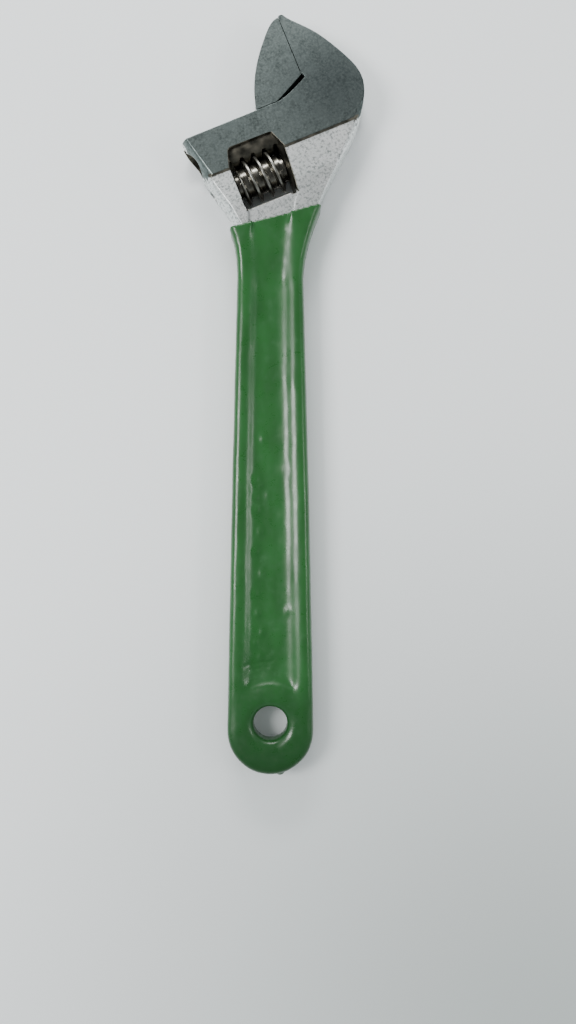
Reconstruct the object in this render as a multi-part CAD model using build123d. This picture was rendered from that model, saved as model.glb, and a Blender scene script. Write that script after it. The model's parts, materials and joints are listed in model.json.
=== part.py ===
from build123d import *
import math
import os

# Adjustable wrench, 12 inch class, with a plastic-dipped handle.
# Millimetres. The drawing origin is the centre of the hanging hole, half-way through the
# thickness: +Y runs up the handle to the head, +X to the side the mouth leans to, +Z up.
# The head is drawn in its own frame (u, v): u along the jaw rail towards the fixed jaw,
# v square to it towards the jaw tips, from the corner of the mouth.

# Head
HEAD_ANGLE = 22.0          # rail against the square of the handle, degrees
MOUTH_X = 15.1             # corner of the mouth from the hanging hole
MOUTH_Y = 256.5
HEAD_THICK = 18.6          # across the ground band, at the step under it
FACE_DRAFT = 2.9           # lean of each ground face towards the tips, degrees
BAND_DEPTH = 17.7          # rail to the step under the ground band
CHEEK_DROP = 0.75          # forged cheek below the ground band, each side
JAW_HEIGHT = 32.7          # rail to the jaw tips
MOUTH_GAP = 0.3            # left between the closed jaws
RAIL_END = 57.4            # mouth corner to the far end of the rail
HEAD_BACK = 22.3           # mouth face to the fattest point of the fixed jaw
THROAT_START = -14.0       # where the rail begins to rise into the throat
EDGE_BREAK = 0.5           # ground edges

# Rounded sides of the head: each is half an oval in section, along a straight line
OVAL_DEEP = 5.5            # from its fattest point to where it would close
OVAL_SIDE = 0.3            # its half height, over half the thickness of the head
LEFT_UPPER = (-53.7, -15.2, 15.1)   # a point of the side, in the head frame, and its lean in degrees
LEFT_LOWER = (-50.3, -30.4, 10.2)
RIGHT_CHEEK = (6.2, -29.5, 134.0)

# Handle
END_RADIUS = 16.3          # steel, round the hanging hole
END_BELOW = 3.2            # centre of that round, below the hole
WAIST_Y = 180.0            # narrowest place
WAIST_HALF = 12.2
SIDE_BULGE = 0.3           # the long sides bow out by this much
HANDLE_THICK = 9.6         # over the rims
WEB_THICK = 5.0            # between the rims
RIM_WIDTH = 4.4            # edge of the handle to the web
SLOPE_TOP = 32.0           # thick head to thin handle, from here below the rail
SLOPE_END = 60.0           # to here
HANDLE_EDGE = 1.4          # rounding of the rims
BOSS_RADIUS = 15.2         # raised steel round the hanging hole
HEAD_WEB_DROP = 2.2        # web below the cheek, under the window

# Plastic dip
DIP = 1.3                  # thickness of the coat
DIP_FIT = 0.05             # kept between coat and steel
DIP_Y = 205.5              # its top edge on the centre line
DIP_LEAN = 14.5            # and how much that edge leans, degrees
HANG_RADIUS = 6.9          # open hole through the coat, at its narrowest
LIP_ROUND = 2.6            # rounding of the coat round that hole, each face
NUB_RADIUS = 2.2           # drip left at the end
NUB_X = 3.9
NUB_SUNK = 1.0             # centre of the drip above the coat's lowest point
HANDLE_OVERLAP = 2.0       # coat and handle are drawn this far past the top edge, then cut

# Jaw shank, its bore and its rack
SHANK_RADIUS = 6.6
SHANK_V = -10.2            # centre line below the rail
SHANK_LEFT = -40.0
SHANK_RIGHT = 9.2
SHANK_FIT = 0.1
BORE_MORE = 3.0            # blind end of the bore past the shank
NECK_THICK = 6.2
NECK_FIT = 0.2
NECK_LEFT = -21.6
NECK_RIGHT = -7.4
NECK_RISE = 4.5            # how far the neck runs up into the jaw
SLOT_MORE = 1.2            # slot past the neck
RAIL_FIT = 0.12

# Worm, its window, pin and spring
WORM_RADIUS = 9.0
WORM_ROOT = 6.3
ROOT_FIT = 0.5             # tips of the rack teeth to the worm's core
WORM_LENGTH = 20.9         # over its two hubs
WORM_LEFT = -40.6
WORM_PLAY = 0.45           # each end, in the window
HUB_RADIUS = 5.2
HUB_LENGTH = 1.6
LEAD = 4.9
CREST = 0.9
FLANK_GROW = 0.8           # each flank, crest to root
THREAD_EASE = 0.6          # taken off the ends of the thread at its crest
THREAD_PHASE = 0.83        # of a turn
MESH_FIT = 0.22            # each flank of the rack, and over the worm's crest
WINDOW_UNDER = 2.8         # open space below the worm
WINDOW_LEAN = 2.2          # upper left corner leans in by this
FLARE_WIDE = 1.8           # right wall of the window opens out by this
FLARE_DEEP = 4.0           # over this depth from each cheek
FLARE_LEAN = 3.9           # and leans, degrees
PIN_RADIUS = 2.25
PIN_FIT = 0.08
PIN_HEAD_RADIUS = 3.3
PIN_HEAD = 2.4
PIN_LEFT = -50.4
PIN_RIGHT = -10.6
PIN_THREAD_RADIUS = 2.0
PIN_THREAD = 7.0
PIN_SEAT_FIT = 0.05
PIN_END_FIT = 0.5
PIN_LAP = 0.5              # thread drawn this far into the shank, so the two join
SLOT_WIDTH = 1.0
SLOT_DEPTH = 1.0
SPRING_MEAN = 3.15
SPRING_WIRE = 0.28         # radius of the wire
SPRING_ROOM = 3.95         # radius of the seat in the worm
SPRING_SEAT = 5.6          # depth of that seat
SPRING_TURNS = 4.5
SPRING_PLAY = 0.3

HALF = HEAD_THICK / 2
SLOPE = math.tan(math.radians(FACE_DRAFT))
CHEEK = HALF - CHEEK_DROP
RIM = HANDLE_THICK / 2
STEP_V = -BAND_DEPTH - CHEEK_DROP
WORM_V = SHANK_V - SHANK_RADIUS - ROOT_FIT - WORM_ROOT
WORM_RIGHT = WORM_LEFT + WORM_LENGTH
WINDOW_LEFT = WORM_LEFT - WORM_PLAY
WINDOW_RIGHT = WORM_RIGHT + WORM_PLAY
WINDOW_TOP = SHANK_V
WINDOW_LOW = WORM_V - WORM_RADIUS - WINDOW_UNDER
THROUGH = 20.0             # half length of anything drawn through the whole thickness
FAR = 400.0                # longer than the wrench
OUTSIDE = 80.0             # past the left end of the head
HEAD = Location((MOUTH_X, MOUTH_Y, 0), (0, 0, HEAD_ANGLE))


def head_way(du, dv):
    """A direction of the head frame, in the drawing frame."""
    a = math.radians(HEAD_ANGLE)
    return (du * math.cos(a) - dv * math.sin(a), du * math.sin(a) + dv * math.cos(a))


def head_xy(u, v):
    """A point of the head frame, in the drawing frame."""
    x, y = head_way(u, v)
    return (MOUTH_X + x, MOUTH_Y + y)


def below_rail(point):
    """Height of a point over the rail, in the head frame."""
    a = math.radians(HEAD_ANGLE)
    return (point.Y - MOUTH_Y) * math.cos(a) - (point.X - MOUTH_X) * math.sin(a)


def face_height(v):
    """Half the thickness of the ground band at height v over the rail."""
    return HALF - (v + BAND_DEPTH) * SLOPE


def mirrored(points):
    """The same points on the other side of the handle's centre line."""
    return [(-x, y) for x, y in points]


def grown(points, first, last, grow):
    """Points of a curve, each moved to its right by grow; first and last are its end directions."""
    out = []
    for i, (x, y) in enumerate(points):
        if i == 0:
            way = Vector(*first)
        elif i == len(points) - 1:
            way = Vector(*last)
        else:
            way = Vector(points[i + 1][0] - points[i - 1][0], points[i + 1][1] - points[i - 1][1])
        way = way.normalized()
        out.append((x + way.Y * grow, y - way.X * grow))
    return out


def handle_sides(grow=0.0):
    """Edges of the handle from the right cheek, round the hanging end, to the left cheek."""
    cheek_way = (-0.468, -0.884)
    rise = head_way(-math.tan(math.radians(LEFT_LOWER[2])), 1.0)
    half = WAIST_HALF + grow
    radius = END_RADIUS + grow
    mid_half = (END_RADIUS + WAIST_HALF) / 2 + SIDE_BULGE + grow
    mid_y = (WAIST_Y - END_BELOW) / 2
    right = [head_xy(-0.6, -32.6), head_xy(-14.6, -45.6), (WAIST_HALF, WAIST_Y)]
    right = mirrored(grown(mirrored(right), (-cheek_way[0], cheek_way[1]), (0.0, -1.0), grow))
    left = [(-WAIST_HALF, WAIST_Y), (-WAIST_HALF - 1.3, WAIST_Y + 15.2), head_xy(-49.5, -34.3)]
    left = grown(left, (0.0, 1.0), rise, -grow)
    return [
        Spline(*right, tangents=[cheek_way, (-0.012, -1.0)]),
        ThreePointArc((half, WAIST_Y), (mid_half, mid_y), (radius, -END_BELOW)),
        ThreePointArc((radius, -END_BELOW), (0, -END_BELOW - radius), (-radius, -END_BELOW)),
        ThreePointArc((-radius, -END_BELOW), (-mid_half, mid_y), (-half, WAIST_Y)),
        Spline(*left, tangents=[(-0.012, 1.0), rise]),
    ]


def plan_outline():
    """Outline of the steel body seen from above: handle, head and fixed jaw in one closed line."""
    face = MOUTH_GAP / 2
    tip = [head_xy(face, JAW_HEIGHT - 0.4), head_xy(1.1, JAW_HEIGHT), head_xy(2.4, JAW_HEIGHT - 0.9)]
    sides = handle_sides()
    back = Spline(
        tip[2], head_xy(10.4, 22.6), head_xy(18.2, 9.8), head_xy(HEAD_BACK, -3.4),
        head_xy(17.2, -15.9), sides[0] @ 0, tangents=[(1.0, -0.62), (-0.468, -0.884)],
    )
    rail_left = FilletPolyline(
        sides[-1] @ 1, head_xy(-51.5, -23.4), head_xy(-RAIL_END, -1.6), head_xy(1.5 - RAIL_END, 0),
        head_xy(THROAT_START, 0), radius=[15.0, 1.2, 0.6],
    )
    throat = Spline(
        head_xy(THROAT_START, 0), head_xy(-6.6, 1.9), head_xy(0.9, 5.4),
        tangents=[head_way(1.0, 0.0), (0.75, 0.95)],
    )
    corner = Line(head_xy(0.9, 5.4), head_xy(face, 6.9))
    mouth = Line(head_xy(face, 6.9), tip[0])
    nose = ThreePointArc(tip[0], tip[1], tip[2])
    return make_face([back] + sides + [rail_left, throat, corner, mouth, nose])


def thickness_prism(grow=0.0):
    """Everything between the two outer faces of the wrench, drawn from the side."""
    upper = [
        (60, face_height(60)), (-BAND_DEPTH, HALF), (STEP_V, CHEEK + grow),
        (-SLOPE_TOP, CHEEK + grow), (-SLOPE_END, RIM + grow), (-FAR, RIM + grow),
    ]
    lower = [(y, -z) for y, z in reversed(upper)]
    rounds = [0, 0, 0.3, 20, 30, 0]
    line = FilletPolyline(*(upper + lower), radius=rounds + rounds[::-1], close=True)
    return HEAD * extrude(Plane.YZ * make_face(line.edges()), FAR, both=True)


def oval_side(u, v, lean):
    """Everything inside one rounded side of the head: a long half oval and all that lies behind it."""
    half_high = HALF + OVAL_SIDE
    section = Location((OVAL_DEEP, 0)) * Ellipse(OVAL_DEEP, half_high)
    section += Location((OVAL_DEEP + FAR / 2, 0)) * Rectangle(FAR, 2 * half_high)
    return HEAD * (Location((u, v, 0), (0, 0, lean)) * extrude(Plane.XZ * section, FAR, both=True))


def web_pocket(grow=0.0):
    """Plan of the hollow between the rims, from the window down to the boss of the hanging hole."""
    low_half = END_RADIUS - RIM_WIDTH - 0.7 - grow
    boss = BOSS_RADIUS + grow
    corner_y = math.sqrt(boss ** 2 - low_half ** 2)
    top_half = WAIST_HALF - RIM_WIDTH + 0.6
    beside = [(top_half, WAIST_Y), head_xy(-24.0, -44.0), head_xy(WINDOW_RIGHT + 0.8, WINDOW_LOW - 0.8)]
    beside = grown(beside, (0.0, 1.0), (0.4, 1.0), -grow)
    across = [head_xy(WINDOW_LEFT + 0.5, WINDOW_LOW + 1.9), (-top_half - 0.3, WAIST_Y + 18)]
    across = grown(across + [(-top_half, WAIST_Y)], (0.4, -1.0), (0.0, -1.0), -grow)
    inside = [head_xy(WINDOW_RIGHT - 0.6, WINDOW_LOW + 1.4), head_xy(WINDOW_LEFT + 3.0, WINDOW_LOW + 4.4)]
    return make_face([
        Line((low_half, corner_y), beside[0]),
        Spline(*beside, tangents=[(0.0, 1.0), (0.4, 1.0)]),
        Polyline(beside[-1], *inside, across[0]),
        Spline(*across, tangents=[(0.4, -1.0), (0.0, -1.0)]),
        Line(across[-1], (-low_half, corner_y)),
        ThreePointArc((-low_half, corner_y), (0, boss), (low_half, corner_y)),
    ])


def web_cuts(grow=0.0):
    """The two hollows, one from each face, down to the web; under the window they keep the head's slope."""
    floor = WEB_THICK / 2 + grow
    top = CHEEK - HEAD_WEB_DROP + grow
    under = floor - 0.1
    cut = extrude(Plane.XY.offset(floor) * web_pocket(grow), THROUGH, dir=(0, 0, 1))
    slope = Polyline((-10, top), (-36, top), (-SLOPE_END - 8, under), (-10, under), close=True)
    cut -= HEAD * extrude(Plane.YZ * make_face(slope.edges()), FAR, both=True)
    return cut + mirror(cut, about=Plane.XY)


def dip_zone(above=0.0):
    """Everything below the top edge of the plastic coat, or a little above it."""
    block = Location((0, -FAR / 2, 0)) * Box(FAR, FAR, 3 * THROUGH)
    return Location((0, DIP_Y + above, 0), (0, 0, DIP_LEAN)) * block


def rim_edges(shape, above):
    """The long edges round a handle cut off at the coat's top edge: not its folds, nor the cut."""
    found = []
    lean = math.radians(DIP_LEAN)
    for edge in shape.edges():
        ends = [edge @ t for t in (0, 0.5, 1)]
        over = [(p.Y - DIP_Y - above) * math.cos(lean) - p.X * math.sin(lean) for p in ends]
        rail = [below_rail(p) for p in ends]
        on_cut = max(abs(d) for d in over) < 0.001
        fold = max(rail) - min(rail) < 0.05
        upright = abs(ends[0].Z - ends[2].Z) > RIM
        if not on_cut and not fold and not upright and abs(ends[1].Z) > 1:
            found.append(edge)
    return found


def handle_shape(grow):
    """The steel handle up to a line above the coat's top edge, rounded all round, grown by grow."""
    sides = handle_sides(grow)
    plan = make_face(sides + [Line(sides[-1] @ 1, sides[0] @ 0)])
    shape = extrude(plan, THROUGH, both=True) & thickness_prism(grow) & dip_zone(HANDLE_OVERLAP)
    shape = fillet(rim_edges(shape, HANDLE_OVERLAP), HANDLE_EDGE + grow)
    return shape - web_cuts(grow)


def window():
    """The worm's window, cut right through, with its right wall opening out towards each cheek."""
    line = FilletPolyline(
        (WINDOW_LEFT + WINDOW_LEAN, WINDOW_TOP), (WINDOW_LEFT, WINDOW_TOP - 7.2), (WINDOW_LEFT, WINDOW_LOW),
        (WINDOW_RIGHT, WINDOW_LOW), (WINDOW_RIGHT, WINDOW_TOP - 3.6), (WINDOW_RIGHT - 1.2, WINDOW_TOP),
        radius=[2.0, 4.0, 1.8, 0.8, 2.0, 0.6], close=True,
    )
    hole = extrude(make_face(line.edges()), THROUGH, both=True)
    inner = WINDOW_RIGHT - 2.0
    reach = 2.5
    section = make_face(Polyline(
        (inner, CHEEK - FLARE_DEEP), (WINDOW_RIGHT, CHEEK - FLARE_DEEP),
        (WINDOW_RIGHT + FLARE_WIDE * reach, CHEEK + FLARE_DEEP * (reach - 1)),
        (inner, CHEEK + FLARE_DEEP * (reach - 1)), close=True,
    ).edges())
    middle = (WINDOW_RIGHT, STEP_V, 0)
    wedge = Location(middle, (0, 0, -FLARE_LEAN)) * (
        Location((-WINDOW_RIGHT, 0, 0)) * extrude(Plane.XZ * section, OUTSIDE, both=True))
    plan = make_face(Polyline(
        (inner, WINDOW_TOP - 0.4), (WINDOW_RIGHT - 1.0, WINDOW_TOP - 0.4),
        (WINDOW_RIGHT + FLARE_WIDE, STEP_V + 1.0), (WINDOW_RIGHT + FLARE_WIDE, WINDOW_LOW - 0.8),
        (inner, WINDOW_LOW - 0.8), close=True,
    ).edges())
    flare = wedge & extrude(plan, THROUGH, both=True)
    return hole + flare + mirror(flare, about=Plane.XY)


def round_cut(left, right, v, radius):
    """A round bar or hole along the rail, in the head frame."""
    return Location(((left + right) / 2, v, 0), (0, 90, 0)) * Cylinder(radius, right - left)


def wrench_body():
    """Forged body: handle, cheeks and fixed jaw, bored for the shank and cut for the worm."""
    head = (extrude(plan_outline(), THROUGH, both=True) & thickness_prism()) - dip_zone()
    for side in (LEFT_UPPER, LEFT_LOWER, RIGHT_CHEEK):
        head = head & oval_side(*side)
    body = head - web_cuts() + (handle_shape(0.0) & dip_zone()) - Cylinder(HANG_RADIUS + DIP, 2 * THROUGH)
    cuts = window()
    cuts += round_cut(-OUTSIDE, SHANK_RIGHT + BORE_MORE, SHANK_V, SHANK_RADIUS + SHANK_FIT)
    slot_right = NECK_RIGHT + SLOT_MORE
    cuts += Location(((slot_right - OUTSIDE) / 2, 0, 0)) * Box(
        slot_right + OUTSIDE, -2 * SHANK_V, NECK_THICK + 2 * NECK_FIT)
    cuts += round_cut(-OUTSIDE, PIN_RIGHT - PIN_THREAD, WORM_V, PIN_RADIUS + PIN_SEAT_FIT)
    cuts += round_cut(WINDOW_RIGHT, PIN_RIGHT + PIN_END_FIT, WORM_V, PIN_THREAD_RADIUS + PIN_SEAT_FIT)
    cuts += round_cut(-OUTSIDE, PIN_LEFT + PIN_HEAD, WORM_V, PIN_HEAD_RADIUS + PIN_SEAT_FIT)
    return body - HEAD * cuts


def movable_jaw():
    """Sliding jaw: its face and shoulders, the neck through the rail, and the round shank with its rack."""
    face = -MOUTH_GAP / 2
    tip_v = JAW_HEIGHT - 0.6
    tip_end = (-2.6, JAW_HEIGHT - 1.3)
    toe = [(THROAT_START + 0.6, RAIL_FIT), (-10.4, 1.5), (-0.9, 6.3)]
    plan = make_face([
        Line((face, 6.7), (face, tip_v)),
        ThreePointArc((face, tip_v), (-1.2, JAW_HEIGHT - 0.75), tip_end),
        Spline(tip_end, (-7.9, 26.7), (-14.9, 17.8), (-20.4, 7.0), (-HEAD_BACK, RAIL_FIT),
               tangents=[(-1.0, -0.55), (-0.22, -1.0)]),
        Polyline((-HEAD_BACK, RAIL_FIT), *toe, (face, 6.7)),
    ])
    side = make_face(Polyline(
        (60, face_height(60)), (-40, face_height(-40)), (-40, -face_height(-40)), (60, -face_height(60)),
        close=True).edges())
    jaw = extrude(plan, THROUGH, both=True) & extrude(Plane.YZ * side, OUTSIDE, both=True)
    neck_plan = Polyline(
        (NECK_LEFT, SHANK_V), (NECK_RIGHT, SHANK_V), (NECK_RIGHT, NECK_RISE),
        (NECK_LEFT + 3.6, NECK_RISE), (NECK_LEFT, 2 * RAIL_FIT), close=True,
    )
    neck = extrude(make_face(neck_plan.edges()), NECK_THICK / 2, both=True)
    shank = round_cut(SHANK_LEFT, SHANK_RIGHT, SHANK_V, SHANK_RADIUS)
    shank = chamfer(shank.edges().filter_by(GeomType.CIRCLE), EDGE_BREAK)
    return HEAD * (jaw + neck + shank - rack_grooves())


def rack_grooves():
    """Cuts between the rack teeth, leaning with the worm's thread."""
    deep = WORM_V + WORM_RADIUS + MESH_FIT
    low = SHANK_V - SHANK_RADIUS - 1.0
    spread = FLANK_GROW / (WORM_RADIUS - WORM_ROOT)
    top = CREST / 2 + MESH_FIT
    bottom = top + spread * (deep - low)
    lean = math.degrees(math.atan(LEAD / (2 * math.pi * (WORM_RADIUS - ROOT_FIT))))
    one = make_face(Polyline((-bottom, low), (-top, deep), (top, deep), (bottom, low), close=True).edges())
    one = Rot(0, lean, 0) * extrude(one, SHANK_RADIUS * 2, both=True)
    first = WORM_LEFT + (0.25 + THREAD_PHASE) * LEAD
    count = math.ceil((SHANK_RIGHT - SHANK_LEFT) / LEAD) + 2
    grooves = []
    for k in range(-count, count):
        u = first + k * LEAD
        if SHANK_LEFT - bottom < u < SHANK_RIGHT + bottom:
            grooves.append(Location((u, 0, 0)) * one)
    return Part() + grooves


def adjusting_worm():
    """Worm that drives the rack: one right-hand thread on a core, bored for the pin and the spring."""
    start = (THREAD_PHASE - 1) * LEAD
    path = Helix(LEAD, WORM_LENGTH + 2 * LEAD, WORM_ROOT, center=(0, 0, start))
    sunk = 0.4
    deep_half = CREST / 2 + FLANK_GROW + FLANK_GROW * sunk / (WORM_RADIUS - WORM_ROOT)
    outline = Polyline((WORM_ROOT - sunk, -deep_half), (WORM_RADIUS, -CREST / 2), (WORM_RADIUS, CREST / 2),
                       (WORM_ROOT - sunk, deep_half), close=True)
    profile = Plane.XZ * make_face(outline.edges())
    thread = sweep(Location((0, 0, start)) * profile, path=path, is_frenet=True)
    middle = Location((0, 0, WORM_LENGTH / 2))
    threaded = WORM_LENGTH - 2 * HUB_LENGTH
    limit = Cylinder(WORM_RADIUS + 1, threaded)
    limit = chamfer(limit.edges().filter_by(GeomType.CIRCLE), 1 + THREAD_EASE)
    worm = middle * Cylinder(WORM_ROOT, threaded) + (thread & middle * limit)
    worm += middle * Cylinder(HUB_RADIUS, WORM_LENGTH)
    worm -= middle * Cylinder(PIN_RADIUS + PIN_FIT, 2 * WORM_LENGTH)
    worm -= Location((0, 0, WORM_LENGTH - SPRING_SEAT / 2)) * Cylinder(SPRING_ROOM, SPRING_SEAT)
    return HEAD * (Location((WORM_LEFT, WORM_V, 0)) * (Rot(0, 90, 0) * worm))


def worm_pin():
    """Screw pin the worm turns on: slotted head, plain shank, thinner threaded end."""
    shank_right = PIN_RIGHT - PIN_THREAD
    pin = round_cut(PIN_LEFT, shank_right, WORM_V, PIN_RADIUS)
    pin += round_cut(shank_right - PIN_LAP, PIN_RIGHT, WORM_V, PIN_THREAD_RADIUS)
    pin += round_cut(PIN_LEFT, PIN_LEFT + PIN_HEAD, WORM_V, PIN_HEAD_RADIUS)
    slot = Location((PIN_LEFT, WORM_V, 0)) * Box(2 * SLOT_DEPTH, THROUGH, SLOT_WIDTH)
    return HEAD * (pin - slot)


def worm_spring():
    """Small coil spring that presses the worm against one side of its window."""
    right = WINDOW_RIGHT - SPRING_PLAY
    left = WORM_RIGHT - SPRING_SEAT + SPRING_PLAY
    length = right - left - 2 * SPRING_WIRE
    path = Helix(length / SPRING_TURNS, length, SPRING_MEAN)
    wire = Plane(origin=path @ 0, z_dir=path % 0) * Circle(SPRING_WIRE)
    coil = sweep(wire, path=path, is_frenet=True)
    return HEAD * (Location((left + SPRING_WIRE, WORM_V, 0)) * (Rot(0, 90, 0) * coil))


def handle_grip():
    """Plastic coat dipped over the handle, open only at its top edge and through the hanging hole."""
    coat = (handle_shape(DIP) - handle_shape(DIP_FIT)) & dip_zone()
    coat += Cylinder(HANG_RADIUS + DIP - DIP_FIT, HANDLE_THICK + 2 * DIP)
    nub_y = NUB_SUNK - END_BELOW - END_RADIUS - DIP
    coat += (Location((NUB_X, nub_y, 0)) * Sphere(NUB_RADIUS)) - handle_shape(DIP_FIT)
    coat -= Cylinder(HANG_RADIUS, 2 * THROUGH)
    lips = [e for e in coat.edges().filter_by(GeomType.CIRCLE) if abs(e.radius - HANG_RADIUS) < 0.01]
    return fillet(lips, LIP_ROUND)


PARTS = {
    "wrench_body": wrench_body,
    "movable_jaw": movable_jaw,
    "adjusting_worm": adjusting_worm,
    "worm_pin": worm_pin,
    "worm_spring": worm_spring,
    "handle_grip": handle_grip,
}


def main():
    """Build every piece, put the origin under the middle of the whole wrench, and write the pieces."""
    os.makedirs("parts", exist_ok=True)
    shapes = {name: build() for name, build in PARTS.items()}
    boxes = [shape.bounding_box() for shape in shapes.values()]
    low_x = min(b.min.X for b in boxes)
    high_x = max(b.max.X for b in boxes)
    low_y = min(b.min.Y for b in boxes)
    high_y = max(b.max.Y for b in boxes)
    low_z = min(b.min.Z for b in boxes)
    shift = Location((-(low_x + high_x) / 2, -(low_y + high_y) / 2, -low_z))
    print("shift", shift.position)
    for name, shape in shapes.items():
        moved = shift * shape
        print(name, "solids", len(moved.solids()), "volume", round(moved.volume, 1), "valid", moved.is_valid)
        export_step(moved, f"parts/{name}.step")


main()
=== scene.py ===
# %% [markdown]
# # Adjustable wrench with a dipped green handle
# The wrench comes in as a finished CAD model, in metres, lying flat with its jaws closed.
# This lesson gives it the look of the real tool: a ground and chromed forging, a dark worm in an
# oily window, and a glossy plastic coat that softens every edge under it.

# %% Load the frame
import bmesh
import bpy
import json
import math
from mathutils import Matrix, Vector, noise
from mathutils.bvhtree import BVHTree


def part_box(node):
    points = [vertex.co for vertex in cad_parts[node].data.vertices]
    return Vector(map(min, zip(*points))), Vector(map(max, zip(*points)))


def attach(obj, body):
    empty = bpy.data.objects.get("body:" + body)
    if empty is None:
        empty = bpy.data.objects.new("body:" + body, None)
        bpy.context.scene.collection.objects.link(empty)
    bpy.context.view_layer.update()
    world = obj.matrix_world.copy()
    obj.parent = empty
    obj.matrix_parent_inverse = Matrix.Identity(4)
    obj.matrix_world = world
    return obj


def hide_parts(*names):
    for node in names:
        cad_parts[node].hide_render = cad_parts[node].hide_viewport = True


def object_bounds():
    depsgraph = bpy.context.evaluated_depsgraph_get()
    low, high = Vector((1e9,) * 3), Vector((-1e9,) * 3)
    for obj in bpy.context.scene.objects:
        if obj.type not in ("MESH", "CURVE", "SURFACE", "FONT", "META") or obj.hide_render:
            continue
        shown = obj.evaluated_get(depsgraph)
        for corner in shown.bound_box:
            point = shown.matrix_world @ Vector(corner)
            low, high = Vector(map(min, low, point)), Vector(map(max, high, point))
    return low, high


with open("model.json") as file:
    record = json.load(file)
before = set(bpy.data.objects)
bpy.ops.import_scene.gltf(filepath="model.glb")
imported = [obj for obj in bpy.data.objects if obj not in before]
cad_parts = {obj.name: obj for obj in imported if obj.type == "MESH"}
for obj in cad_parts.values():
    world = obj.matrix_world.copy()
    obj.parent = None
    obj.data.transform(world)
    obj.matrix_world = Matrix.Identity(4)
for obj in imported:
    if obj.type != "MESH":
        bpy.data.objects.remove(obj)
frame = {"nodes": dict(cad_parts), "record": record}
cad_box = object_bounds()
print("CAD box", cad_box)

# %% [markdown]
# The head leans against the handle, so it has a frame of its own: u along the rail that the jaw
# slides on, v up towards the jaw tips, both from the corner of the mouth. The record already holds
# it: the worm turns about u, and the mount in the mouth points along v, 20 mm above that corner.

# %% The head's own frame
MM = 0.001
MOUNT_UP = 20              # the mount in the mouth is this far above the corner, in millimetres
record = frame["record"]
mounts = {mount["name"]: mount for mount in record["mounts"]}
joints = {joint["name"]: joint for joint in record["behaviour"]["joints"]}
RAIL = Vector(joints["worm_spin"]["axis"])
RISE = Vector(mounts["jaw_mouth"]["axis"])
MOUTH = Vector(mounts["jaw_mouth"]["pos_m"]) - MOUNT_UP * MM * RISE
WORM_MID = Vector(joints["worm_spin"]["pos_m"])
HOLE = Vector(mounts["hang_hole"]["pos_m"])
HEAD_TURN = math.atan2(RAIL.y, RAIL.x)
MIDDLE_Z = WORM_MID.z


def in_head(point):
    """A point as u, v and height over the middle of the thickness, in millimetres."""
    away = point - MOUTH
    return away.dot(RAIL) / MM, away.dot(RISE) / MM, (point.z - MIDDLE_Z) / MM


print("head leans", round(math.degrees(HEAD_TURN), 2), "degrees, worm at", in_head(WORM_MID))

# %% [markdown]
# Every finish below is a small network of nodes. One helper turns a hex colour to the linear
# colour that the shader wants, one adds any node with its settings and links, and one gives a
# pattern's scale from a size in millimetres, so each number can be checked with a ruler.

# %% Helpers for materials
def srgb(code):
    """A hex colour as linear RGBA."""
    out = []
    for i in (0, 2, 4):
        c = int(code[i:i + 2], 16) / 255
        out.append(c / 12.92 if c <= 0.04045 else ((c + 0.055) / 1.055) ** 2.4)
    return (*out, 1.0)


def add(tree, kind, sockets=None, **settings):
    """Adds a node; a socket is given a value, or another node's output to be linked from."""
    node = tree.nodes.new(kind)
    for name, value in settings.items():
        setattr(node, name, value)
    for name, value in (sockets or {}).items():
        if isinstance(value, bpy.types.NodeSocket):
            tree.links.new(value, node.inputs[name])
        else:
            node.inputs[name].default_value = value
    return node


def per(size_mm):
    """Pattern scale at which one feature is about this many millimetres wide."""
    return 1 / (size_mm * MM)


def new_material(name):
    """A material with only its shader and output, ready for its own pattern."""
    material = bpy.data.materials.new(name)
    material.use_nodes = True
    tree = material.node_tree
    return material, tree, tree.nodes["Principled BSDF"]


def head_coordinates(tree):
    """Object coordinates turned and centred on the head, so x runs along the rail."""
    place = add(tree, "ShaderNodeTexCoord").outputs["Object"]
    return add(tree, "ShaderNodeMapping", {
        "Vector": place, "Location": MOUTH, "Rotation": (0, 0, HEAD_TURN)}, vector_type="TEXTURE").outputs[0]


def blend(tree, amount, low, high):
    """Mixes two colours by a pattern; a hex code or another output may stand on either side."""
    low = srgb(low) if isinstance(low, str) else low
    high = srgb(high) if isinstance(high, str) else high
    return add(tree, "ShaderNodeMix", {0: amount, 6: low, 7: high}, data_type="RGBA").outputs[2]


def spread(tree, value, low, high, out_low=0.0, out_high=1.0):
    """Stretches the part of a pattern between low and high over a new range."""
    return add(tree, "ShaderNodeMapRange", {
        "Value": value, "From Min": low, "From Max": high, "To Min": out_low, "To Max": out_high}).outputs[0]


print("helpers ready; 1 mm features have scale", per(1))

# %% [markdown]
# The faces of the head and the movable jaw are ground carbon steel under thin chrome. Years of use
# have clouded them: the eye sees a dull grey-green metal with soft patches 3 to 8 mm across and a
# fine grain from the grinding wheel. A darker area on the fat side of the fixed jaw is painted: a
# painted reflection of the dim room. Metal with middling roughness gives that; only colour,
# roughness and bump vary.

# %% Ground and clouded steel
# Painted reflection: the steel is painted darker round this middle, standing in for the dim room it mirrors.
DARK_REFLECTION_MIDDLE = (12 * MM, -2 * MM, 0.0)    # the darker area, in the head's frame
DARK_REFLECTION_FROM, DARK_REFLECTION_TO = 30 * MM, 4 * MM     # it fades in over this distance from its middle
DARK_REFLECTION_MOST = 0.7


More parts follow.
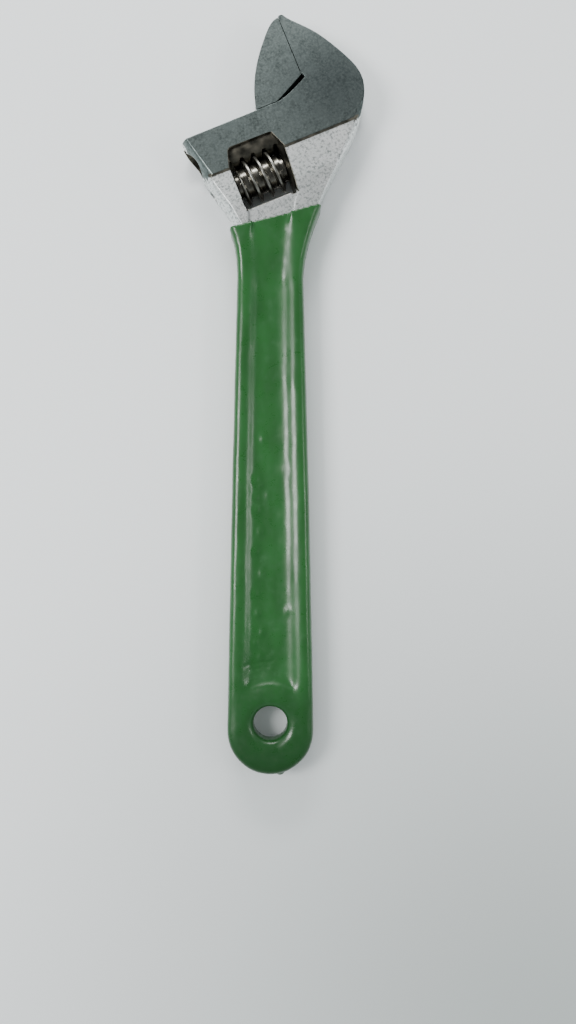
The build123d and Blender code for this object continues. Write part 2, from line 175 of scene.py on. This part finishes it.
def ground_steel():
    material, tree, shader = new_material("ground_chromed_steel")
    place = head_coordinates(tree)
    patches = add(tree, "ShaderNodeTexNoise", {
        "Vector": place, "Scale": per(6), "Detail": 6.0, "Roughness": 0.68}).outputs[0]
    grain = add(tree, "ShaderNodeTexNoise", {
        "Vector": place, "Scale": per(0.9), "Detail": 3.0, "Roughness": 0.7}).outputs[0]
    away = add(tree, "ShaderNodeVectorMath", {
        0: place, 1: DARK_REFLECTION_MIDDLE}, operation="DISTANCE").outputs["Value"]
    dark_reflection = spread(tree, away, DARK_REFLECTION_TO, DARK_REFLECTION_FROM, 1.0, 0.0)
    cloud = blend(tree, spread(tree, patches, 0.33, 0.68), "414947", "7a8583")
    cloud = blend(tree, spread(tree, grain, 0.38, 0.72, 0.0, 0.6), cloud, "939e9b")
    # Here the cloud is painted darker towards that middle, a painted reflection.
    dim = add(tree, "ShaderNodeMath", {0: dark_reflection, 1: DARK_REFLECTION_MOST}, operation="MULTIPLY").outputs[0]
    tree.links.new(blend(tree, dim, cloud, "3a4143"), shader.inputs["Base Color"])
    tree.links.new(spread(tree, patches, 0.3, 0.7, 0.46, 0.36), shader.inputs["Roughness"])
    bump = add(tree, "ShaderNodeBump", {
        "Height": grain, "Strength": 0.25, "Distance": 0.03 * MM}).outputs[0]
    tree.links.new(bump, shader.inputs["Normal"])
    shader.inputs["Metallic"].default_value = 1.0
    return material


GROUND = ground_steel()
print(GROUND.name, len(GROUND.node_tree.nodes), "nodes")

# %% [markdown]
# The cheeks and the rounded sides are left as forged, shot-blasted and chromed: much lighter, with
# a pebbled skin of shallow dents about 1 mm apart. The deepest dents show as dark dots. The dents
# are under half a millimetre deep in reality, so they are bump and colour, not geometry.

# %% Shot-blasted chrome
def blasted_chrome():
    material, tree, shader = new_material("shot_blasted_chrome")
    place = head_coordinates(tree)
    pebbles = add(tree, "ShaderNodeTexNoise", {
        "Vector": place, "Scale": per(1.1), "Detail": 4.0, "Roughness": 0.7}).outputs[0]
    soft = add(tree, "ShaderNodeTexNoise", {"Vector": place, "Scale": per(9), "Detail": 2.0}).outputs[0]
    dots = spread(tree, pebbles, 0.47, 0.66)
    tone = blend(tree, spread(tree, soft, 0.35, 0.65), "e6eae8", "f4f6f5")
    tone = blend(tree, dots, tone, "868e8d")
    tree.links.new(tone, shader.inputs["Base Color"])
    tree.links.new(spread(tree, pebbles, 0.3, 0.7, 0.44, 0.58), shader.inputs["Roughness"])
    bump = add(tree, "ShaderNodeBump", {
        "Height": pebbles, "Strength": 0.5, "Distance": 0.12 * MM}, invert=True).outputs[0]
    tree.links.new(bump, shader.inputs["Normal"])
    shader.inputs["Metallic"].default_value = 1.0
    return material


BLASTED = blasted_chrome()
print(BLASTED.name, len(BLASTED.node_tree.nodes), "nodes")

# %% [markdown]
# Inside the window, the bore and on the rack there is no chrome. Bare steel keeps a film of old
# brown oil there, so it is a dark olive brown, with lighter streaks and a wet shine where the film
# is thick. The same dark colour is partly painted shade: on the walls of the window and the slot,
# on the step under the band and on the jaw's shank in the window it stands in for the shade there.

# %% Oily bare steel, partly painted shade
def oily_steel_and_shade():
    material, tree, shader = new_material("oily_steel_and_painted_shade")
    place = head_coordinates(tree)
    stain = add(tree, "ShaderNodeTexNoise", {"Vector": place, "Scale": per(4), "Detail": 4.0}).outputs[0]
    scratch = add(tree, "ShaderNodeTexNoise", {"Vector": place, "Scale": per(0.6), "Detail": 2.0}).outputs[0]
    tone = blend(tree, spread(tree, stain, 0.35, 0.7), "4b4b44", "837f73")
    tree.links.new(tone, shader.inputs["Base Color"])
    tree.links.new(spread(tree, stain, 0.3, 0.7, 0.28, 0.5), shader.inputs["Roughness"])
    bump = add(tree, "ShaderNodeBump", {
        "Height": scratch, "Strength": 0.3, "Distance": 0.05 * MM}).outputs[0]
    tree.links.new(bump, shader.inputs["Normal"])
    shader.inputs["Metallic"].default_value = 1.0
    return material


OILY_AND_SHADE = oily_steel_and_shade()
print(OILY_AND_SHADE.name, len(OILY_AND_SHADE.node_tree.nodes), "nodes")

# %% [markdown]
# The worm is turned and left dark by its heat treatment, but its skin is smooth and takes sharp
# white highlights. Thumbs and the rack have rubbed the crests of its thread to bright steel, so the
# crests have a finish of their own. The pin and its little spring are plain turned steel and wire.

# %% Worm, pin and spring steels
def turned_steel(name, low, high, rough, streak_mm):
    """Turned steel: fine rings round the rail axis, between two tones."""
    material, tree, shader = new_material(name)
    place = head_coordinates(tree)
    squeezed = add(tree, "ShaderNodeMapping", {"Vector": place, "Scale": (1.0, 0.12, 0.12)}).outputs[0]
    rings = add(tree, "ShaderNodeTexNoise", {
        "Vector": squeezed, "Scale": per(streak_mm), "Detail": 3.0}).outputs[0]
    blotch = add(tree, "ShaderNodeTexNoise", {"Vector": place, "Scale": per(3), "Detail": 3.0}).outputs[0]
    tone = blend(tree, spread(tree, blotch, 0.35, 0.68), low, high)
    tree.links.new(tone, shader.inputs["Base Color"])
    tree.links.new(spread(tree, rings, 0.3, 0.7, rough, rough + 0.14), shader.inputs["Roughness"])
    bump = add(tree, "ShaderNodeBump", {
        "Height": rings, "Strength": 0.2, "Distance": 0.03 * MM}).outputs[0]
    tree.links.new(bump, shader.inputs["Normal"])
    shader.inputs["Metallic"].default_value = 1.0
    return material


WORM_DARK = turned_steel("heat_darkened_steel", "66645b", "96938a", 0.2, 0.5)
WORM_BRIGHT = turned_steel("rubbed_steel", "8d8c84", "bab9b2", 0.3, 0.5)
PIN_STEEL = turned_steel("turned_screw_steel", "70706c", "9c9c97", 0.3, 0.4)
SPRING_STEEL = turned_steel("oiled_spring_wire", "4a4640", "77736a", 0.28, 0.3)
print("four turned steels")

# %% [markdown]
# The handle was dipped in liquid PVC and hung up to set. It is one glossy skin, a dark leaf green,
# smooth as paint close by but slightly lumpy over 5 to 10 mm, which breaks its reflections into
# wavering streaks. Fine dust and handling give it a very small orange peel and duller patches.
# Towards the hanging end its colour is painted deeper: painted shade, where the rounded end gets
# less light.

# %% Dipped PVC
# Painted shade: the green is painted deeper towards the hanging end.
END_SHADE_ABOVE, END_SHADE_BELOW = 22 * MM, 18 * MM    # the colour deepens from above the hole to below it
END_SHADE_MOST = 0.85


def dipped_pvc():
    material, tree, shader = new_material("glossy_dipped_pvc")
    place = add(tree, "ShaderNodeTexCoord").outputs["Object"]
    long_way = add(tree, "ShaderNodeMapping", {"Vector": place, "Scale": (1.0, 0.35, 1.0)}).outputs[0]
    lumps = add(tree, "ShaderNodeTexNoise", {
        "Vector": long_way, "Scale": per(7), "Detail": 2.0, "Roughness": 0.4}).outputs[0]
    peel = add(tree, "ShaderNodeTexNoise", {"Vector": place, "Scale": per(1.1), "Detail": 2.0}).outputs[0]
    dust = add(tree, "ShaderNodeTexNoise", {
        "Vector": place, "Scale": per(5), "Detail": 5.0, "Roughness": 0.7}).outputs[0]
    tone = blend(tree, spread(tree, lumps, 0.35, 0.65), "1d5122", "225a28")
    tone = blend(tree, spread(tree, dust, 0.58, 0.78, 0.0, 0.35), tone, "356c3b")
    # The colour is painted deeper towards the hanging end, a painted shade.
    height = add(tree, "ShaderNodeSeparateXYZ", {0: place}).outputs["Y"]
    end_shade = spread(tree, height, HOLE.y + END_SHADE_ABOVE, HOLE.y - END_SHADE_BELOW, 0.0, END_SHADE_MOST)
    tree.links.new(blend(tree, end_shade, tone, "143a18"), shader.inputs["Base Color"])
    tree.links.new(spread(tree, dust, 0.35, 0.7, 0.26, 0.40), shader.inputs["Roughness"])
    coarse = add(tree, "ShaderNodeBump", {
        "Height": lumps, "Strength": 0.5, "Distance": 0.35 * MM}).outputs[0]
    fine = add(tree, "ShaderNodeBump", {
        "Height": peel, "Strength": 0.25, "Distance": 0.03 * MM, "Normal": coarse}).outputs[0]
    tree.links.new(fine, shader.inputs["Normal"])
    shader.inputs["IOR"].default_value = 1.53
    shader.inputs["Coat Weight"].default_value = 0.15
    shader.inputs["Coat Roughness"].default_value = 0.14
    return material


PVC = dipped_pvc()
print(PVC.name, len(PVC.node_tree.nodes), "nodes")

# %% [markdown]
# CAD edges are perfectly sharp, and no real edge is: a forging is tumbled and a ground edge is
# broken with a stone. A bright line along such an edge is half of what makes metal look like metal.
# Each steel piece except the small spring is therefore a copy of its CAD mesh, its loose corners
# merged, flat areas joined, and its sharp edges bevelled by a few tenths of a millimetre. A bevel
# modifier would do the same, but the operator runs before the finishes are given out, so each new
# facet gets one too.
#
# Where many short edges meet, a bevel can overshoot. A true bevel only ever cuts a corner off, so
# no point may end up farther from the CAD surface than the bevel is wide. Any that does is put
# back on the nearest point of that surface. The two faces of the mouth keep their sharp edges,
# because they shut tight and show as one thin dark line.

# %% Copy, merge and bevel a CAD node
MOUTH_NEAR, MOUTH_FOOT = 0.4, -0.5      # the shut faces: u this near to nought, and v over this
MERGE, WELD = 0.04 * MM, 0.01 * MM      # corners closer than this are one, before and after bevelling
FLAT_ANGLE = math.radians(0.6)          # faces that differ by less are joined
SHARP_ANGLE = math.radians(26)          # edges that turn by more are bevelled
SHORTEST = 0.2 * MM                     # but not edges shorter than this
CREASE_ANGLE = math.radians(38)         # light breaks at edges that still turn by more
STRAY = 0.75                            # a point this share of the bevel's width away is put back


def at_mouth(edge):
    """True for an edge on the shut faces of the mouth."""
    places = [in_head(vert.co) for vert in edge.verts]
    return all(abs(u) < MOUTH_NEAR and v > MOUTH_FOOT for u, v, z in places)


def bevelled_copy(node, name, width_mm):
    """A new object with the node's shape and softened edges, not yet riding on a body."""
    bm = bmesh.new()
    bm.from_mesh(frame["nodes"][node].data)
    bmesh.ops.remove_doubles(bm, verts=bm.verts, dist=MERGE)
    bmesh.ops.dissolve_degenerate(bm, dist=WELD, edges=bm.edges)
    bmesh.ops.dissolve_limit(
        bm, angle_limit=FLAT_ANGLE, verts=bm.verts, edges=bm.edges, use_dissolve_boundaries=False)
    cad_surface = BVHTree.FromBMesh(bm)
    sharp = [edge for edge in bm.edges
             if edge.is_manifold and edge.calc_face_angle() > SHARP_ANGLE
             and edge.calc_length() > SHORTEST and not at_mouth(edge)]
    bmesh.ops.bevel(
        bm, geom=sharp, offset=width_mm * MM, offset_type="OFFSET", segments=2, profile=0.5,
        affect="EDGES", clamp_overlap=False, material=-1, loop_slide=True, miter_outer="ARC")
    strays = 0
    for vert in bm.verts:
        nearest, _, _, distance = cad_surface.find_nearest(vert.co)
        if distance > STRAY * width_mm * MM:
            vert.co = nearest
            strays += 1
    bmesh.ops.remove_doubles(bm, verts=bm.verts, dist=WELD)
    bmesh.ops.recalc_face_normals(bm, faces=bm.faces)
    mesh = bpy.data.meshes.new(name)
    bm.to_mesh(mesh)
    bm.free()
    mesh.shade_smooth()
    mesh.set_sharp_from_angle(angle=CREASE_ANGLE)
    piece = bpy.data.objects.new(name, mesh)
    bpy.context.collection.objects.link(piece)
    print(name, "bevelled", len(sharp), "edges,", len(mesh.polygons), "faces,", strays, "put back")
    return piece


# %% [markdown]
# A finish goes to a face by where the face is. Each piece has a rule that looks at a face's middle,
# in the head's frame, and at the way it points. Large faces also get their say over small ones in
# how light runs across a corner, so a flat face stays flat and only its bevel looks round.

# %% Give each face its finish
def finish(piece, node, body, finishes, rule):
    """Puts the finishes on a piece by a rule, hands the piece to its body, and hides its CAD node."""
    for material in finishes:
        piece.data.materials.append(material)
    counts = [0] * len(finishes)
    for face in piece.data.polygons:
        u, v, z = in_head(face.center)
        face.material_index = rule(u, v, z, face.normal)
        counts[face.material_index] += 1
    even = piece.modifiers.new("even_light", "WEIGHTED_NORMAL")
    even.keep_sharp = True
    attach(piece, body)
    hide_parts(node)
    print(piece.name, dict(zip([m.name for m in finishes], counts)))


# %% [markdown]
# The forged body. The ground band runs from the rail down to the step under it, and takes in the
# fixed jaw. Everything inside the worm's window, the shank bore and the slot gets the dark oily
# finish, which there is partly painted shade. The wall of the narrow step under the band gets it as
# painted shade, so the step shows as a thin dark line. The rest of the head, its rounded sides and
# the whole handle under the coat are shot-blasted chrome. The handle is complete under there, so
# the coat can be taken off.

# %% The forged body
BAND_LOW = -18.0                        # just under the step; all of these in millimetres
WINDOW = (-42.0, -16.6, -36.4, -9.8)    # left, right, bottom and top
BORE_V, BORE_RADIUS = -10.2, 7.1
BORE_RIGHT = 14.0                       # a face counts as bore only left of this
SLOT_HALF, SLOT_RIGHT = 3.5, -4.0
THROAT = (-15.0, 1.0)                   # the rail just left of the mouth's corner
STEP, STEP_OVER = (-19.0, -17.2), 8.0
WALL_UNDER = 0.97                       # a face that points up less than this isn't flat
SLOT_WALL = 0.7                         # the slot's two walls face up and down by more than this


def body_rule(u, v, z, normal):
    """Number of the finish for one face of the forged body."""
    flat = abs(normal.z)
    in_window = WINDOW[0] < u < WINDOW[1] and WINDOW[2] < v < WINDOW[3]
    in_bore = math.hypot(v - BORE_V, z) < BORE_RADIUS and u < BORE_RIGHT
    in_slot = abs(z) < SLOT_HALF and v > BORE_V and u < SLOT_RIGHT and flat > SLOT_WALL
    on_step = STEP[0] < v < STEP[1] and 0.3 < flat < WALL_UNDER and abs(z) > STEP_OVER
    # Window walls, bore, slot and the step's wall take the dark oily finish, partly painted shade in these
    # recesses.
    if (in_window and flat < WALL_UNDER) or in_bore or in_slot or on_step:
        return 2
    if v > BAND_LOW and flat > 0.3:
        return 0
    mouth = v > 0 and normal.dot(RAIL) < -0.3
    throat = THROAT[0] < u < THROAT[1] and v > -1 and normal.dot(RISE) > 0.3
    return 0 if mouth or throat else 1


forged_body = bevelled_copy("wrench_body", "forged_body", 0.3)
finish(forged_body, "wrench_body", "frame", [GROUND, BLASTED, OILY_AND_SHADE], body_rule)

# %% [markdown]
# The movable jaw is ground like the band it slides on, and its neck, shank and rack get the dark
# oily finish, which on the shank in the window is partly painted shade.

# %% The movable jaw
jaw = bevelled_copy("movable_jaw", "sliding_jaw", 0.2)
finish(jaw, "movable_jaw", "jaw", [GROUND, OILY_AND_SHADE],
       lambda u, v, z, normal: 0 if v > 0.05 else 1)

# %% [markdown]
# The worm: faces near its full radius are thread crests, and get the rubbed finish.

# %% The worm, its pin and its spring
CREST_FROM = 8.6           # millimetres from the worm's own axis
worm = bevelled_copy("adjusting_worm", "knurl_worm", 0.16)
worm_v = in_head(WORM_MID)[1]
finish(worm, "adjusting_worm", "worm", [WORM_DARK, WORM_BRIGHT],
       lambda u, v, z, normal: 1 if math.hypot(v - worm_v, z) > CREST_FROM else 0)
pin = bevelled_copy("worm_pin", "pin_screw", 0.15)
finish(pin, "worm_pin", "frame", [PIN_STEEL], lambda u, v, z, normal: 0)
for slot in frame["nodes"]["worm_spring"].material_slots:
    slot.material = SPRING_STEEL
print("steel pieces done")

# %% [markdown]
# The coat. A dip follows the steel but never its corners: liquid plastic draws back from edges and
# pools in hollows. Bevels can't give that, so the CAD coat is remeshed into small even cells, and a
# smoothing pass lets the rim slope softly into the web. The smoothing is strongest over the web and
# fades towards the outer sides. Round the hanging hole a last pass domes the end into a soft ring.
# It moves points only up or down, so that pass leaves the size of the hole alone.

# %% Remesh and soften the coat
CELL = 0.7 * MM
coat_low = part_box("handle_grip")[0]


def evaluated(piece):
    """The piece's mesh with its modifiers applied, as a new mesh."""
    graph = bpy.context.evaluated_depsgraph_get()
    return bpy.data.meshes.new_from_object(piece.evaluated_get(graph))


def merged_copy(node, name):
    """A copy of a CAD mesh with its loose corners merged."""
    bm = bmesh.new()
    bm.from_mesh(frame["nodes"][node].data)
    bmesh.ops.remove_doubles(bm, verts=bm.verts, dist=WELD)
    mesh = bpy.data.meshes.new(name)
    bm.to_mesh(mesh)
    bm.free()
    piece = bpy.data.objects.new(name, mesh)
    bpy.context.collection.objects.link(piece)
    return piece


coat = merged_copy("handle_grip", "dipped_coat")
remesh = coat.modifiers.new("cells", "REMESH")
remesh.mode = "VOXEL"
remesh.voxel_size = CELL
coat.data = evaluated(coat)
coat.modifiers.clear()
print("coat cells", len(coat.data.polygons))

# %% [markdown]
# How wide the handle is at each height decides where the smoothing is strong. The widths come from
# the remeshed coat itself, in slices 4 mm tall.

# %% Smooth the web more than the sides
SLICE = 4 * MM
SIDE_KEEP = 2.6 * MM       # outer strip that keeps its shape
SIDE_FADE = 3.0 * MM
TOP_KEEP = 2.0 * MM        # strip along the coat's upper edge that keeps its shape
TOP_FADE = 7.0 * MM
DRIP_KEEP = 2.6 * MM       # the drip at the very end keeps its shape
BOSS_KEEP = 15.0 * MM      # the boss round the hanging hole keeps its step
END_REACH = 4.0 * MM       # and its top is domed out to here past that
DIP_LEAN = math.radians(14.5)
dip_way = Vector((-math.sin(DIP_LEAN), math.cos(DIP_LEAN)))


def slice_of(y):
    """Number of the slice that a height is in."""
    return int((y - coat_low.y) / SLICE)


def clamped(weight):
    return max(0.0, min(1.0, weight))


sides = {}
for vert in coat.data.vertices:
    low, high = sides.get(slice_of(vert.co.y), (1.0, -1.0))
    sides[slice_of(vert.co.y)] = (min(low, vert.co.x), max(high, vert.co.x))
dip_line = max(vert.co.xy.dot(dip_way) for vert in coat.data.vertices)
web = coat.vertex_groups.new(name="web")
whole = coat.vertex_groups.new(name="whole")
end = coat.vertex_groups.new(name="end")
for vert in coat.data.vertices:
    low, high = sides[slice_of(vert.co.y)]
    inward = min(vert.co.x - low, high - vert.co.x)
    off_hole = (vert.co.xy - HOLE.xy).length - BOSS_KEEP
    under_edge = dip_line - vert.co.xy.dot(dip_way) - TOP_KEEP
    over_hole = vert.co.y - HOLE.y
    over_drip = vert.co.y - coat_low.y - DRIP_KEEP
    web_weight = min(inward - SIDE_KEEP, off_hole, over_hole) / SIDE_FADE
    web_weight = min(web_weight, under_edge / TOP_FADE)
    whole_weight = min(under_edge / SIDE_FADE, over_drip / SIDE_FADE)
    end_weight = (END_REACH - off_hole) / SIDE_FADE
    web.add([vert.index], clamped(web_weight), "REPLACE")
    whole.add([vert.index], clamped(whole_weight), "REPLACE")
    end.add([vert.index], clamped(end_weight), "REPLACE")
PASSES = (("whole", 12, True), ("web", 110, True), ("end", 60, False))    # turns; sideways too or not
for name, turns, sideways in PASSES:
    smooth = coat.modifiers.new(name, "SMOOTH")
    smooth.factor = 0.5
    smooth.iterations = turns
    smooth.vertex_group = name
    smooth.use_x = sideways
    smooth.use_y = sideways
coat.data = evaluated(coat)
coat.modifiers.clear()
print("slices", len(sides), "coat now", [round(c / MM, 1) for c in coat.dimensions])

# %% [markdown]
# Real dips are lumpy. Two layers of seeded noise move each point a little along its own normal:
# broad swells, and smaller ripples. Then come the marks of this handle: a run of low bumps up the
# left of the web, where the plastic bubbled a little over rough steel, and two thin slanting wrinkles
# above the boss of the hanging hole, where the skin crept as it set.

# %% Lumps, bumps and wrinkles in the coat
SWELL, RIPPLE = 0.11 * MM, 0.05 * MM
SWELL_SIZE, RIPPLE_SIZE = 9 * MM, 3.2 * MM
RIPPLE_SHIFT = Vector((5.0, 2.0, 1.0))
STRETCH = 0.45             # the lumps are about twice as long up the handle as across it
BUMPS = [  # from the hanging hole: across and up, radius, height, all in millimetres
    (-3.0, 116, 1.7, 0.50), (-6.0, 99, 1.8, 0.52), (-4.0, 97, 1.3, 0.36), (-1.0, 93, 1.5, 0.26),
    (-5.8, 92, 1.5, 0.42), (-5.6, 87, 1.9, 0.50), (-4.4, 78, 1.7, 0.42), (-5.8, 70, 1.6, 0.42),
    (-3.6, 61, 1.7, 0.40), (-6.2, 53, 1.6, 0.42), (-5.2, 45, 1.8, 0.52), (-3.4, 37, 1.5, 0.40),
    (-6.0, 33, 1.7, 0.50), (-4.2, 27, 1.6, 0.30), (5.8, 104, 2.4, 0.20), (7.0, 46, 1.8, 0.24),
]
WRINKLES = [(-9.9, 23.6, 0.5, 25.2), (-8.0, 21.9, -1.0, 23.2)]
WRINKLE_WIDE, WRINKLE_DEEP = 0.6, 0.22
WAVER, WAVER_RATE = 0.25, 1.3
BUMP_LONG, BUMP_FALL, BUMP_REACH = 1.4, 1.6, 4


def bumps_at(across, up):
    """Height of the bumps at a place on the upper face, in millimetres."""
    total = 0.0
    for x, y, radius, height in BUMPS:
        away = ((across - x) ** 2 + ((up - y) / BUMP_LONG) ** 2) / radius ** 2
        if away < BUMP_REACH:
            total += height * math.exp(-BUMP_FALL * away)
    return total


def wrinkles_at(across, up):
    """Depth of the wrinkles at a place on the upper face, in millimetres."""
    total = 0.0
    for x0, y0, x1, y1 in WRINKLES:
        t = max(0.0, min(1.0, (across - x0) / (x1 - x0)))
        line = y0 + t * (y1 - y0) + WAVER * math.sin(across * WAVER_RATE)
        along = max(0.0, (x0 - across), (across - x1))
        total += WRINKLE_DEEP * math.exp(-((up - line) / WRINKLE_WIDE) ** 2 - along ** 2)
    return total


normals = [vert.normal.copy() for vert in coat.data.vertices]
for vert, normal in zip(coat.data.vertices, normals):
    place = Vector((vert.co.x, vert.co.y * STRETCH, vert.co.z))
    swell = noise.noise(place / SWELL_SIZE)
    ripple = noise.noise(place / RIPPLE_SIZE + RIPPLE_SHIFT)
    move = SWELL * swell + RIPPLE * ripple
    if normal.z > 0.5 and vert.co.z > MIDDLE_Z:
        across, up = (vert.co.x - HOLE.x) / MM, (vert.co.y - HOLE.y) / MM
        move += (bumps_at(across, up) - wrinkles_at(across, up)) * MM
    vert.co += normal * move
coat.data.shade_smooth()
coat.data.materials.clear()
coat.data.materials.append(PVC)
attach(coat, "frame")
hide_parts("handle_grip")
print("coat done,", len(coat.data.polygons) * 2, "triangles")

# %% [markdown]
# The wrench lies on a white laminate table. The table is only a stage: a large plane just under the
# tool. It is nearly even in colour, but its near right corner is shaded. No lamp casts that shade:
# it is painted into the colour.

# %% The table
TABLE_HALF = 1.5
TABLE_UNDER = 0.1 * MM                  # just clear of the tool
NEAR_RIGHT = (0.117, -0.269, 0.0)       # middle of the shade
SHADE_REACH, SHADE_MOST = 330 * MM, 0.75


def white_laminate():
    material, tree, shader = new_material("white_laminate")
    place = add(tree, "ShaderNodeTexCoord").outputs["Object"]
    uneven = add(tree, "ShaderNodeTexNoise", {"Vector": place, "Scale": per(160), "Detail": 2.0}).outputs[0]
    away = add(tree, "ShaderNodeVectorMath", {0: place, 1: NEAR_RIGHT}, operation="DISTANCE").outputs["Value"]
    shade = add(tree, "ShaderNodeMapRange", {
        "Value": away, "From Min": 0.0, "From Max": SHADE_REACH, "To Min": SHADE_MOST, "To Max": 0.0},
        interpolation_type="SMOOTHSTEP").outputs[0]
    plain = blend(tree, uneven, "f4f7f7", "fafcfc")
    tree.links.new(blend(tree, shade, plain, "98a09d"), shader.inputs["Base Color"])
    shader.inputs["Roughness"].default_value = 0.55
    return material


bm = bmesh.new()
bmesh.ops.create_grid(bm, x_segments=1, y_segments=1, size=TABLE_HALF)
bmesh.ops.translate(bm, verts=bm.verts, vec=(0, 0, cad_box[0][2] - TABLE_UNDER))
table_mesh = bpy.data.meshes.new("table_top")
bm.to_mesh(table_mesh)
bm.free()
table = bpy.data.objects.new("table_top", table_mesh)
bpy.context.collection.objects.link(table)
table_mesh.materials.append(white_laminate())
print("table", 2 * TABLE_HALF, "m wide")

# %% [markdown]
# A plain, evenly lit room, with one trick that no real room has. Dull faces get the same light from
# all round, but shiny ones mirror something else: pale walls, and a much darker part overhead. Flat
# faces mirror that dim part and look deep in colour, while every rounded edge turns towards the
# walls and shines. A window on the left throws the soft shadow to the right and draws the long
# streaks on the coat. Two small lamps, right and beyond the head, only add glints.

# %% Lights
def soft_light(name, place, size, power):
    """A rectangular light aimed at the middle of the table."""
    data = bpy.data.lights.new(name, "AREA")
    data.shape = "RECTANGLE"
    data.size, data.size_y = size
    data.energy = power
    lamp = bpy.data.objects.new(name, data)
    lamp.location = place
    lamp.rotation_euler = (-Vector(place)).to_track_quat("-Z", "Y").to_euler()
    bpy.context.collection.objects.link(lamp)


soft_light("window_left", (-0.55, 0.0, 0.80), (0.26, 0.34), 6.0)
soft_light("lamp_right", (0.70, -0.05, 0.70), (0.30, 0.14), 1.2)
soft_light("lamp_far", (-0.10, 0.90, 0.55), (0.50, 0.20), 6.0)

WALL, OVERHEAD = 0.64, 0.11          # what shiny faces mirror at the sides and above
WALL_TOP, ROOF_FROM = 0.22, 0.78     # walls up to here, overhead from here, as a share of straight up
EVEN = 0.97                          # what every other ray gets from all round
world = bpy.context.scene.world or bpy.data.worlds.new("room")
bpy.context.scene.world = world
world.use_nodes = True
room = world.node_tree
way_up = add(room, "ShaderNodeSeparateXYZ", {0: add(room, "ShaderNodeTexCoord").outputs["Generated"]})
mirrored = spread(room, way_up.outputs["Z"], WALL_TOP, ROOF_FROM, WALL, OVERHEAD)
shiny = add(room, "ShaderNodeLightPath").outputs["Is Glossy Ray"]
brightness = add(room, "ShaderNodeMix", {0: shiny, 2: EVEN, 3: mirrored}).outputs[0]
room.links.new(brightness, room.nodes["Background"].inputs["Strength"])
room.nodes["Background"].inputs["Color"].default_value = srgb("e9eff1")
print("lights ready")

# %% [markdown]
# The camera looks straight down from 432 mm over the table, a little to the right of the handle.

# %% Camera
CAMERA_OVER = 432 * MM
CAMERA_ASIDE = Vector((7.18, 86.10)) * MM     # from the hanging hole
LENS, SENSOR = 36.14, 36.0
view = bpy.data.cameras.new("camera")
view.sensor_fit = "AUTO"
view.sensor_width = SENSOR
view.lens = LENS
camera = bpy.data.objects.new("camera", view)
camera.location = (HOLE.x + CAMERA_ASIDE.x, HOLE.y + CAMERA_ASIDE.y, CAMERA_OVER)
bpy.context.collection.objects.link(camera)
bpy.context.scene.camera = camera
print("camera at", tuple(round(c, 4) for c in camera.location))
